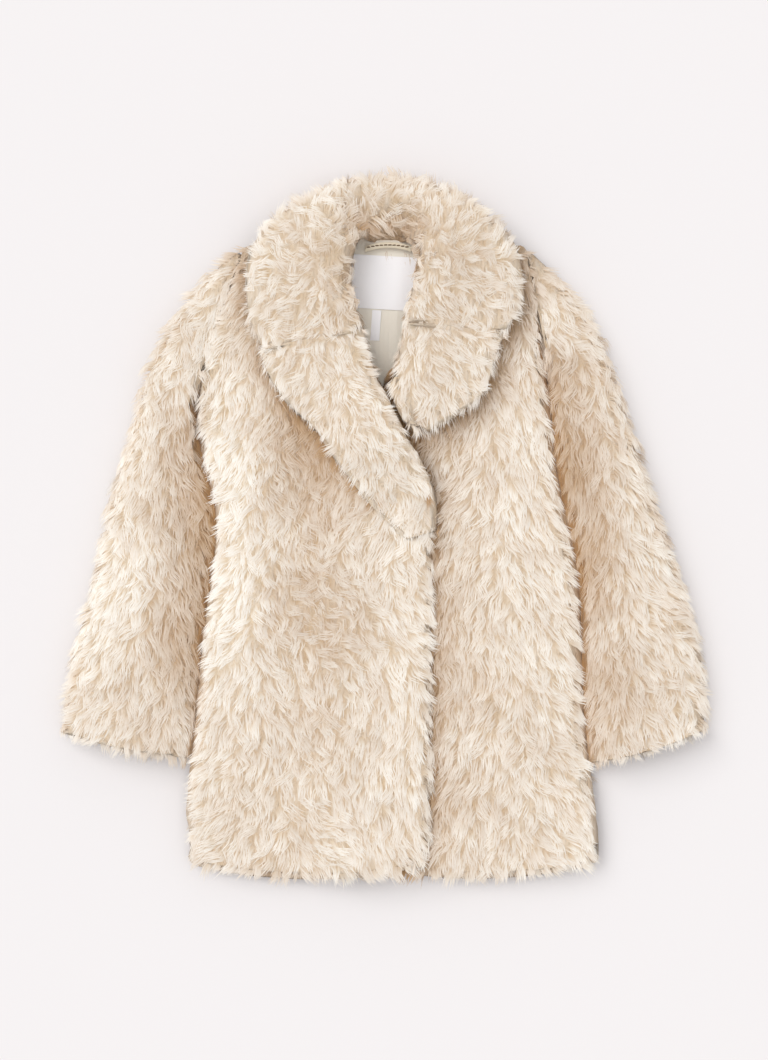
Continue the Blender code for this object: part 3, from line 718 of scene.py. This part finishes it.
def pile_tree():
    """Locks of tapered strands over a cloth that carries the marks that CLOTH_MARKS lists."""
    if "Pile" in bpy.data.node_groups:
        return bpy.data.node_groups["Pile"]
    tree = bpy.data.node_groups.new("Pile", "GeometryNodeTree")
    inputs = {
        "Geometry": "NodeSocketGeometry", **dict.fromkeys(PILE_SIZES, "NodeSocketFloat"),
        "Seed": "NodeSocketInt", "Material": "NodeSocketMaterial",
    }
    for name, kind in inputs.items():
        tree.interface.new_socket(name, in_out="INPUT", socket_type=kind)
    tree.interface.new_socket("Geometry", in_out="OUTPUT", socket_type="NodeSocketGeometry")
    net, given = Net(tree), tree.nodes.new("NodeGroupInput").outputs
    roots, marks = marked_roots(net, given)
    strands = bent_strands(net, given, straight_strands(net, roots))
    strands = net.geometry("SetShadeSmooth", {"Geometry": strands, "Shade Smooth": True})
    strands = net.geometry("SetMaterial", {"Geometry": strands, "Material": given["Material"]})
    for name in (*CLOTH_MARKS, *marks, "strand"):
        strands = net.geometry("RemoveAttribute", {"Geometry": strands, "Name": name})
    tree.links.new(strands, tree.nodes.new("NodeGroupOutput").inputs["Geometry"])
    return tree


# -------- meshes


def add_object(name, mesh):
    made = bpy.data.objects.new(name, mesh)
    bpy.context.scene.collection.objects.link(made)
    return made


def read(items, name, width=3, kind=float):
    """One number or vector of each point, corner or face."""
    found = np.empty(len(items) * width, kind)
    items.foreach_get(name, found)
    return found.reshape(-1, width) if width > 1 else found


def coordinates(mesh):
    return read(mesh.vertices, "co")


def place_points(mesh, places):
    mesh.vertices.foreach_set("co", places.ravel())
    mesh.update()


def store_numbers(mesh, name, values):
    kind, key = ("FLOAT_VECTOR", "vector") if values.ndim > 1 else ("FLOAT", "value")
    attribute = mesh.attributes.new(name, kind, "POINT")
    attribute.data.foreach_set(key, np.ascontiguousarray(values, np.float32).ravel())


def unit(vectors):
    return vectors / np.maximum(np.linalg.norm(vectors, axis=1, keepdims=True), 1e-6)


def smoothstep(low, high, value):
    share = np.clip((value - low) / (high - low), 0.0, 1.0)
    return share * share * (3.0 - 2.0 * share)


def evaluated_mesh(made, name):
    """The object's mesh with its modifiers applied."""
    bpy.context.view_layer.update()
    graph = bpy.context.evaluated_depsgraph_get()
    mesh = bpy.data.meshes.new_from_object(
        made.evaluated_get(graph), preserve_all_data_layers=True, depsgraph=graph
    )
    mesh.name = name
    return mesh


def merged_copy(node, name, rounds=1):
    """A copy of a solid's mesh with its doubles merged, smoothed by subdivision."""
    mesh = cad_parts[node].data.copy()
    mesh.name = name
    place_points(mesh, form_of(node)[0])
    work = bmesh.new()
    work.from_mesh(mesh)
    bmesh.ops.remove_doubles(work, verts=work.verts, dist=2e-5)
    work.to_mesh(mesh)
    work.free()
    mesh.materials.clear()
    for layer in list(mesh.uv_layers):
        mesh.uv_layers.remove(layer)
    made = add_object(name, mesh)
    if rounds:
        smooth = made.modifiers.new("smooth", "SUBSURF")
        smooth.levels = smooth.render_levels = rounds
        made.data = evaluated_mesh(made, name)
        made.modifiers.clear()
        bpy.data.meshes.remove(mesh)
    made.data.shade_smooth()
    return made


# -------- flat cloth


def cut_up(mesh):
    """Cuts a flat mesh along a square net, so that it can crease."""
    work = bmesh.new()
    work.from_mesh(mesh)
    for axis in range(2):
        places = [v.co[axis] for v in work.verts]
        first, last = math.floor(min(places) / CREASE_NET), math.ceil(max(places) / CREASE_NET)
        normal = (1.0, 0.0, 0.0) if axis == 0 else (0.0, 1.0, 0.0)
        for i in range(first + 1, last):
            bmesh.ops.bisect_plane(
                work, geom=[*work.verts, *work.edges, *work.faces], dist=2e-5,
                plane_co=[i * CREASE_NET * n for n in normal], plane_no=normal,
            )
    work.to_mesh(mesh)
    work.free()


def crease(mesh, creases):
    """Raises soft creases across a flat mesh."""
    places = coordinates(mesh)
    for fold in creases:
        start = np.array([fold.x0, fold.y0]) * MM
        run = np.array([fold.x1, fold.y1]) * MM - start
        share = np.clip(((places[:, :2] - start) @ run) / (run @ run), 0.0, 1.0)
        apart = np.linalg.norm(places[:, :2] - start - share[:, None] * run, axis=1)
        places[:, 2] += fold.height * MM * np.exp(-((apart / (fold.width * MM)) ** 2))
    place_points(mesh, places)


def build_flat(node, name, creases, material, rise=0.0):
    """One flat piece of cloth on its solid's form, with its top edge that much further up."""
    made = merged_copy(node, name, rounds=0)
    places = coordinates(made.data)
    low, high = places[:, 1].min(), places[:, 1].max()
    places[:, 1] += rise * smoothstep(low + 0.6 * (high - low), high, places[:, 1])
    place_points(made.data, places)
    cut_up(made.data)
    crease(made.data, creases)
    made.data.shade_flat()
    made.data.materials.append(material)
    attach(made, "root")
    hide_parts(node)


def stitches(name, ends, radius, material):
    """Short threads, each from one place to another."""
    work = bmesh.new()
    for start, end in ends:
        start, end = Vector(start), Vector(end)
        run = end - start
        turn = UP.rotation_difference(run).to_matrix().to_4x4()
        made = bmesh.ops.create_uvsphere(work, u_segments=8, v_segments=6, radius=radius)["verts"]
        for vertex in made:
            if abs(vertex.co.z) > 1e-7:
                vertex.co.z += math.copysign(run.length / 2, vertex.co.z)
            vertex.co = turn @ vertex.co + (start + end) / 2
    mesh = bpy.data.meshes.new(name)
    work.to_mesh(mesh)
    work.free()
    mesh.shade_smooth()
    mesh.materials.append(material)
    return add_object(name, mesh)


# -------- how the coat lies


@cache
def form_of(node):
    """Points and faces of a solid, sunk into the piece it lies on where it settles."""
    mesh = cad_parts[node].data
    places = coordinates(mesh)
    if node in SETTLING:
        under, start_y, end_y = SETTLING[node]
        for place in places:
            share = smoothstep(end_y, start_y, place[1])
            base = top_at(tree_of(under), place[0], place[1]) or FALLBACK_TOP
            place[2] = base + (place[2] - base) * (SETTLED + (1.0 - SETTLED) * share)
    return places, [tuple(p.vertices) for p in mesh.polygons]


@cache
def tree_of(*nodes):
    """One search tree over several pieces."""
    places, faces = [], []
    for node in nodes:
        points, loops = form_of(node)
        start = len(places)
        places += [tuple(point) for point in points]
        faces += [tuple(start + i for i in loop) for loop in loops]
    return BVHTree.FromPolygons(places, faces)


def all_but(node, nodes):
    return tree_of(*(n for n in nodes if n != node))


def top_at(tree, x, y):
    """Height of the coat's top over a place, 0 beside it."""
    hit = tree.ray_cast(Vector((x, y, 1.0)), DOWN)
    return hit[0].z if hit[0] is not None else 0.0


def covered(point, others):
    """True if another piece lies right over this place."""
    return others.ray_cast(Vector(point), UP)[0] is not None


def circle(count, offset=0.0):
    """Unit steps all round, as (x, y)."""
    turns = (math.tau * (i + offset) / count for i in range(count))
    return [(math.cos(turn), math.sin(turn)) for turn in turns]


def buried(point, others):
    """True if other pieces cover this place and all round it."""
    x, y, z = point
    return covered(point, others) and all(
        covered((x + COVER_REACH * dx, y + COVER_REACH * dy, z), others) for dx, dy in circle(8)
    )


def way_out(point, way, coat, longest):
    """How far a lock that lies that way goes before it passes the outline."""
    step, gone = 0.002, 0.0
    while gone < longest:
        x, y = point[0] + way[0] * (gone + step), point[1] + way[1] * (gone + step)
        if coat.ray_cast(Vector((x, y, 1.0)), DOWN)[0] is None:
            return gone
        gone += step
    return longest


def goes_on(coat, point, way):
    """1 where the coat goes on that way at this height, 0 where it drops off."""
    ahead = max(top_at(coat, point[0] + way[0] * r, point[1] + way[1] * r) for r in AHEAD)
    return 1.0 - float(smoothstep(*DROP_OFF, point[2] - ahead))


def faces_seam(others, point, normal):
    """True if another piece stands close in front of this wall."""
    side = Vector((normal[0], normal[1], 0.0))
    return side.length >= WALL_SLOPE and any(
        others.ray_cast(Vector(point) + DOWN * drop, side.normalized(), SEAM_REACH)[0] is not None
        for drop in SEAM_DEPTHS
    )


def closed_in(around, point):
    """Share of the sky over a place that higher cloth near it hides."""
    hidden, start = 0, Vector(point) + Vector((0.0, 0.0, 0.002))
    for climb in SKY_CLIMBS:
        for dx, dy in circle(SKY_WAYS, climb):
            way = Vector((dx * math.cos(climb), dy * math.cos(climb), math.sin(climb)))
            hidden += around.ray_cast(start, way, SKY_REACH)[0] is not None
    return hidden / (SKY_WAYS * len(SKY_CLIMBS))


def closed_share(node, place):
    """How far the pile closes over a seam: all round the neck, and down to each underarm."""
    if node in NECK_NODES:
        return 1.0
    low, high = ARM_OPENS[int(place[0] > 0.0)]
    return smoothstep(low, high, place[1])


def bridged(own, others, x, y):
    """Height at which cloth would span a place from one piece's top across to another's."""
    steps = [(GROOVE_REACH * dx, GROOVE_REACH * dy) for dx, dy in circle(12)]
    return max(min(top_at(own, x + dx, y + dy), top_at(others, x - dx, y - dy)) for dx, dy in steps)


def close_grooves(mesh, node):
    """Raises the top of a piece where it dips to a seam, for the pile closes over seams."""
    own = tree_of(node)
    others = all_but(node, NECK_NODES if node in NECK_NODES else BODY_NODES)
    places, normals = coordinates(mesh), read(mesh.vertices, "normal")
    for place, normal in zip(places, normals):
        share = closed_share(node, place)
        if normal[2] < TOP_FACING or not share or covered(place + normal * 0.0012, own):
            continue
        gap = bridged(own, others, place[0], place[1]) + 0.0005 - place[2]
        place[2] += share * max(gap, 0.0)
    place_points(mesh, places)


# -------- fur pieces


# How much pile grows at a point and how long it is, how far its root moves back, how level
# it stands, how straight down its backing goes, what is near it and how deep in a hollow it
# is, as the share of sky that nearby cloth hides, which the pile's colour takes as painted
# shade.
Spot = namedtuple("Spot", "grow pile draw level plumb near seam crevice")
BARE = Spot(0.0, 1.0, 0.0, 0.0, 0.0, False, False, 0.0)


def spot_at(node, length, point, normal, way):
    """What a lock that lies that way meets at this point of a piece."""
    if normal[2] < LOWEST_FACING:
        return BARE
    others, own = all_but(node, ALL_NODES), tree_of(node)
    coat = tree_of(*BODY_NODES, *NECK_NODES, node)
    closed = closed_share(node, point)
    near, on_back = faces_seam(others, point, normal), node == "back"
    seam = closed > CLOSED and near and not on_back
    apart = others.find_nearest(Vector(point), PLUMB_REACH)[3]
    plumb = 0.0
    if apart is not None and normal[2] > 0.0 and not on_back:
        plumb = closed * (1.0 - smoothstep(0.5 * PLUMB_REACH, PLUMB_REACH, apart))
    if buried(point + normal * 0.001, others):
        return BARE._replace(plumb=plumb, near=near, seam=seam)
    at_seam, highest = COLLAR_GROWTH if node == "collar" else SEAM_GROWTH
    grow = at_seam if seam and normal[2] < highest else 1.0
    steep = 1.0 - smoothstep(*LEVELLING, normal[2])
    crevice = 0.0
    # What higher cloth nearby hides of the sky is painted into the pile as shade.
    if not on_back:
        above = point + normal * 0.001
        above[2] = max(above[2], top_at(own, point[0], point[1]))
        crevice = max(closed_in(tree_of(*ALL_NODES), above) - OPEN_SHARE, 0.0)
    free = way_out(point, way, coat, length) + CUTS[node].overhang
    short = max(length - free, 0.0)
    pile = max(1.0 - (1.0 - DRAWN) * short / length, SHORTEST)
    level = steep * goes_on(coat, point, way) * closed
    return Spot(grow, pile, DRAWN * short, level, plumb, near, seam, crevice)


def combed(node, points):
    """Unit nap, curl and painted shade, lit below 0, at each point, from the comb strokes round it.
    """
    x, y, lean, curl, shade = np.array(COMBS[node], float).T
    places, lean = np.stack([x, y], 1) * MM, np.radians(lean)
    apart = np.linalg.norm(points[:, None, :2] - places[None], axis=2)
    weight = np.exp(-((apart / COMB_REACH) ** 2)) + 1e-4 / (1e-3 + apart)
    weight /= weight.sum(1, keepdims=True)
    nap = unit(weight @ np.stack([np.sin(lean), -np.cos(lean)], 1))
    return nap, weight @ (curl / 100), weight @ (shade / 100)


def backing_moves(node, points, normals, plumb, near, seam):
    """How each point of a piece moves in from the pile's outside to the backing."""
    insets = SIDE_INSET + (TOP_INSET - SIDE_INSET) * smoothstep(-0.3, 0.6, normals[:, 2])
    low = 1.0 - smoothstep(*FOOT, points[:, 2])
    insets = np.where(near, insets + (FOOT_INSET - insets) * low, insets)
    insets = np.where(normals[:, 2] < -0.3, 0.0 if node == "back" else BOTTOM_INSET, insets)
    inward = normals * (1.0 - plumb[:, None]) + plumb[:, None] * np.array(UP)
    moves = -inward * insets[:, None]
    at_seam = unit(normals * (1.0, 1.0, 0.0)) * SEAM_SPREAD
    at_seam[:, 2] = -TOP_INSET * smoothstep(0.0, 0.5, normals[:, 2])
    moves[seam] = at_seam[seam]
    if node in SETTLING:
        _, start_y, end_y = SETTLING[node]
        under = (normals[:, 2] < 0.2) & ~seam
        moves[under, 2] -= TOP_INSET * (1.0 - smoothstep(end_y, start_y, points[under, 1]))
    return moves


def dressed(mesh, node, settings):
    """What the pile tree reads, as arrays by name, and the backing's moves."""
    cut = CUTS[node]
    length = settings.pile_length * cut.pile
    points, normals = coordinates(mesh), read(mesh.vertices, "normal")
    nap, curl, shade = combed(node, points)
    spots = [spot_at(node, length, *row) for row in zip(points, normals, nap)]
    grow, pile, draw, level, plumb, near, seam, crevice = np.array(spots, float).T
    near, seam = near > 0.5, seam > 0.5
    # Painted shade from the comb and from the hollows, which darkens the pile's colour.
    shade = COMB_SHADE * shade + CREVICE_SHADE * crevice

    nap = np.column_stack([nap, np.full(len(nap), NAP_DROP)])
    against = (nap * normals).sum(1)
    flatter = NAP_FLATTENING * against * np.where(against > 0.0, 1.0 - level, 1.0)
    nap = unit(nap - normals * flatter[:, None])
    stand = unit(normals + level[:, None] * np.array([0.0, 0.0, LEVEL_RISE]))
    outward = np.clip((nap * stand).sum(1), 0.0, 1.0)
    depth = settings.lift + outward * (1.0 - level) * length * pile - 0.0005
    marks = (
        nap, stand, grow, np.clip(depth, 0.0, DEEPEST), draw, pile * cut.pile, curl * cut.curl,
        FULL_TONE - SHADED_BY * np.clip(shade, -0.2, 1.0),
    )
    moves = backing_moves(node, points, normals, plumb, near, seam)
    return dict(zip(CLOTH_MARKS, marks)), moves


def shrink(mesh, moves):
    """Moves a mesh's points inwards, less where a face would turn over."""
    start, faces_before = coordinates(mesh), read(mesh.polygons, "normal")
    for _ in range(EASINGS):
        place_points(mesh, start + moves)
        turned = (read(mesh.polygons, "normal") * faces_before).sum(1) < TURNED
        if not turned.any():
            break
        for i in np.nonzero(turned)[0]:
            moves[list(mesh.polygons[i].vertices)] *= EASED


def light_strands(mesh):
    """Sets the strands' normals from their facing, which is then dropped."""
    facing = read(mesh.attributes["facing"].data, "vector", kind=np.float32)
    mesh.attributes.remove(mesh.attributes["facing"])
    lit = facing[read(mesh.loops, "vertex_index", 1, np.int32)]
    own = read(mesh.polygons, "normal")
    own = np.repeat(own, read(mesh.polygons, "loop_total", 1, np.int32), axis=0)
    # The underside of a strand keeps its own normal, or it would look black from low down.
    under = (lit * own).sum(1) < 0.0
    lit += (0.0, 0.0, UPLIGHT)
    lit = unit(lit)
    lit[under] = own[under]
    mesh.normals_split_custom_set(lit)


def grow_pile(made, settings, seed):
    """Runs the pile tree on a dressed cloth and keeps only its strands."""
    modifier = made.modifiers.new("pile", "NODES")
    modifier.node_group = tree = pile_tree()
    values = {name: getattr(settings, key) for name, key in PILE_SIZES.items()}
    values |= {"Seed": seed, "Material": pile_material(settings)}
    for item in tree.interface.items_tree:
        if item.in_out == "INPUT" and item.name in values:
            modifier[item.identifier] = values[item.name]
    mesh = evaluated_mesh(made, made.name)
    light_strands(mesh)
    made.modifiers.clear()
    cloth, made.data = made.data, mesh
    bpy.data.meshes.remove(cloth)
    # Light passes through such fine fibres, so only the backing casts the coat's shadow.
    made.visible_shadow = False


def build_cut(node):
    """Backing and pile of one piece of the coat."""
    cut, settings = CUTS[node], bpy.context.scene.coat_pile
    cloth = merged_copy(node, node + "_pile")
    if node != "back":
        close_grooves(cloth.data, node)
    marks, moves = dressed(cloth.data, node, settings)
    backing = add_object(node + "_backing", cloth.data.copy())
    # The backing shares the pile's tone, painted shade included.
    store_numbers(backing.data, "tone", marks["tone"])
    shrink(backing.data, moves)
    backing.data.materials.append(backing_material(settings))
    for name, values in marks.items():
        store_numbers(cloth.data, name, values)
    grow_pile(cloth, settings, cut.seed)
    for piece in (backing, cloth):
        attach(piece, "root")
    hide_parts(node)


# -------- operators


class COAT_OT_back(bpy.types.Operator):
    """Build the back with its pressed underside"""

    bl_idname = "coat.back"
    bl_label = "Back"

    def execute(self, context):
        build_cut("back")
        return {"FINISHED"}


class COAT_OT_fronts(bpy.types.Operator):
    """Build both fronts"""

    bl_idname = "coat.fronts"
    bl_label = "Fronts"

    def execute(self, context):
        build_cut("front_left")
        build_cut("front_right")
        return {"FINISHED"}


class COAT_OT_sleeves(bpy.types.Operator):
    """Build both sleeves"""

    bl_idname = "coat.sleeves"
    bl_label = "Sleeves"

    def execute(self, context):
        build_cut("sleeve_right")
        build_cut("sleeve_left")
        return {"FINISHED"}


class COAT_OT_collar(bpy.types.Operator):
    """Build the collar"""

    bl_idname = "coat.collar"
    bl_label = "Collar"

    def execute(self, context):
        build_cut("collar")
        return {"FINISHED"}


class COAT_OT_lapels(bpy.types.Operator):
    """Build both lapels"""

    bl_idname = "coat.lapels"
    bl_label = "Lapels"

    def execute(self, context):
        build_cut("lapel_right")
        build_cut("lapel_left")
        return {"FINISHED"}


class COAT_OT_lining(bpy.types.Operator):
    """Build the lining that shows inside the neck"""

    bl_idname = "coat.lining"
    bl_label = "Lining"

    def execute(self, context):
        colour = context.scene.coat_lining.lining_colour
        satin = woven_material("satin", colour, 0.42, 0.1, 1800.0, 0.00012)
        build_flat(
            "lining_back", "lining", LINING_CREASES, satin,
            rise=0.013,
        )
        return {"FINISHED"}


class COAT_OT_labels(bpy.types.Operator):
    """Build the bare neck label and care tag"""

    bl_idname = "coat.labels"
    bl_label = "Labels"

    def execute(self, context):
        colour = context.scene.coat_lining.label_colour
        weave = woven_material("label_weave", colour, 0.6, 0.0, 1400.0, 0.00010)
        build_flat(
            "neck_label", "label", LABEL_CREASES, weave,
        )
        build_flat(
            "care_tag", "tag", TAG_CREASES, weave,
        )
        return {"FINISHED"}


# The hanger loop's middle from left to right and up the coat, how much wider it is than
# its solid, and its row of threads: how many, how far apart, how long and how high up.
LOOP_X, LOOP_Y = 0.0035, 0.2625
LOOP_WIDER = 1.35
THREADS, THREAD_STEP, THREAD_LENGTH, THREAD_Z = 10, 0.0040, 0.0022, 0.0176


class COAT_OT_hanger_loop(bpy.types.Operator):
    """Build the hanger loop and the threads that hold it"""

    bl_idname = "coat.hanger_loop"
    bl_label = "Hanger Loop"

    def execute(self, context):
        settings = context.scene.coat_lining
        tape = woven_material("tape_weave", settings.tape_colour, 0.8, 0.2, 1200.0, 0.0002)
        thread = woven_material("thread", settings.thread_colour, 0.7, 0.0, 3000.0, 0.0001)
        loop = merged_copy("hanger_loop", "loop")
        # The tape is pulled wider across and up clear of the lining.
        places = coordinates(loop.data)
        places[:, 1] = 0.2620 + (places[:, 1] - LOOP_Y) * LOOP_WIDER
        places[:, 2] += 0.004
        place_points(loop.data, places)
        loop.data.materials.append(tape)
        ends = []
        for i in range(THREADS):
            x = -0.0150 + THREAD_STEP * i
            y = LOOP_Y + 0.003 * (1.0 - ((x - LOOP_X) / 0.022) ** 2) - 0.0015
            half = THREAD_LENGTH / 2
            ends.append(((x - half, y, THREAD_Z), (x + half, y + 0.0001, THREAD_Z)))
        sewn = stitches("loop_stitches", ends, 0.0006, thread)
        for piece in (loop, sewn):
            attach(piece, "root")
        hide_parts("hanger_loop")
        return {"FINISHED"}


def add_light(name, power, width, place):
    """A light from far off, as wide as that angle, that shines from there at the coat."""
    light = bpy.data.lights.new(name, "SUN")
    light.energy, light.angle = power, width
    made = add_object(name, light)
    made.location = place
    made.rotation_euler = (-Vector(place)).to_track_quat("-Z", "Y").to_euler()


class COAT_OT_stage(bpy.types.Operator):
    """Build the floor, the light and the camera"""

    bl_idname = "coat.stage"
    bl_label = "Stage"

    def execute(self, context):
        scene, settings = context.scene, context.scene.coat_stage
        mesh = bpy.data.meshes.new("floor")
        half = 6.0
        mesh.from_pydata(
            [(-half, -half, 0.0), (half, -half, 0.0), (half, half, 0.0), (-half, half, 0.0)],
            [], [(0, 1, 2, 3)],
        )
        material, _, shader = new_material("pale_floor", 0.9, specular=0.1)
        shader.inputs["Base Color"].default_value = settings.floor_colour
        mesh.materials.append(material)
        add_object("floor", mesh)

        add_light("key", settings.key_power, 0.7, (-1.4, 1.05, 1.9))
        add_light("top", settings.top_power, 1.1, (0.0, 0.0, 2.4))
        world = bpy.data.worlds.new("studio")
        world.use_nodes = True
        sky = world.node_tree.nodes["Background"]
        sky.inputs["Color"].default_value = (1.0, 1.0, 1.0, 1.0)
        sky.inputs["Strength"].default_value = settings.sky_strength
        scene.world = world
        scene.view_settings.view_transform = "Standard"

        # The lens takes in this height at the level of the coat.
        seen_height, coat_level = 0.9911, 0.025
        camera = bpy.data.cameras.new("camera")
        camera.sensor_width, camera.sensor_fit = 36.0, "AUTO"
        camera.lens = camera.sensor_width * (settings.camera_height - coat_level) / seen_height
        camera.clip_start, camera.clip_end = 0.05, 50.0
        scene.camera = add_object("camera", camera)
        scene.camera.location = (-0.0005, -0.0033, settings.camera_height)
        return {"FINISHED"}


OPERATORS = (
    COAT_OT_back, COAT_OT_fronts, COAT_OT_sleeves, COAT_OT_collar, COAT_OT_lapels,
    COAT_OT_lining, COAT_OT_labels, COAT_OT_hanger_loop, COAT_OT_stage,
)
SETTINGS = (
    ("coat_pile", CoatPileSettings),
    ("coat_lining", CoatLiningSettings),
    ("coat_stage", CoatStageSettings),
)


class COAT_PT_panel(bpy.types.Panel):
    """Lists the coat's builders and settings"""

    bl_idname = "COAT_PT_panel"
    bl_label = "Coat"
    bl_space_type = "VIEW_3D"
    bl_region_type = "UI"
    bl_category = "Coat"

    def draw(self, context):
        for name, _ in SETTINGS:
            box, group = self.layout.box(), getattr(context.scene, name)
            for setting in group.__annotations__:
                box.prop(group, setting)
        for operator in OPERATORS:
            self.layout.operator(operator.bl_idname)


def register():
    for name, group in SETTINGS:
        bpy.utils.register_class(group)
        setattr(bpy.types.Scene, name, bpy.props.PointerProperty(type=group))
    for made in (*OPERATORS, COAT_PT_panel):
        bpy.utils.register_class(made)


def unregister():
    for made in reversed((*OPERATORS, COAT_PT_panel)):
        bpy.utils.unregister_class(made)
    for name, group in reversed(SETTINGS):
        delattr(bpy.types.Scene, name)
        bpy.utils.unregister_class(group)


def main():
    register()
    bpy.ops.coat.back()
    bpy.ops.coat.fronts()
    bpy.ops.coat.sleeves()
    bpy.ops.coat.collar()
    bpy.ops.coat.lapels()
    bpy.ops.coat.lining()
    bpy.ops.coat.labels()
    bpy.ops.coat.hanger_loop()
    bpy.ops.coat.stage()


if __name__ == "__main__":
    main()
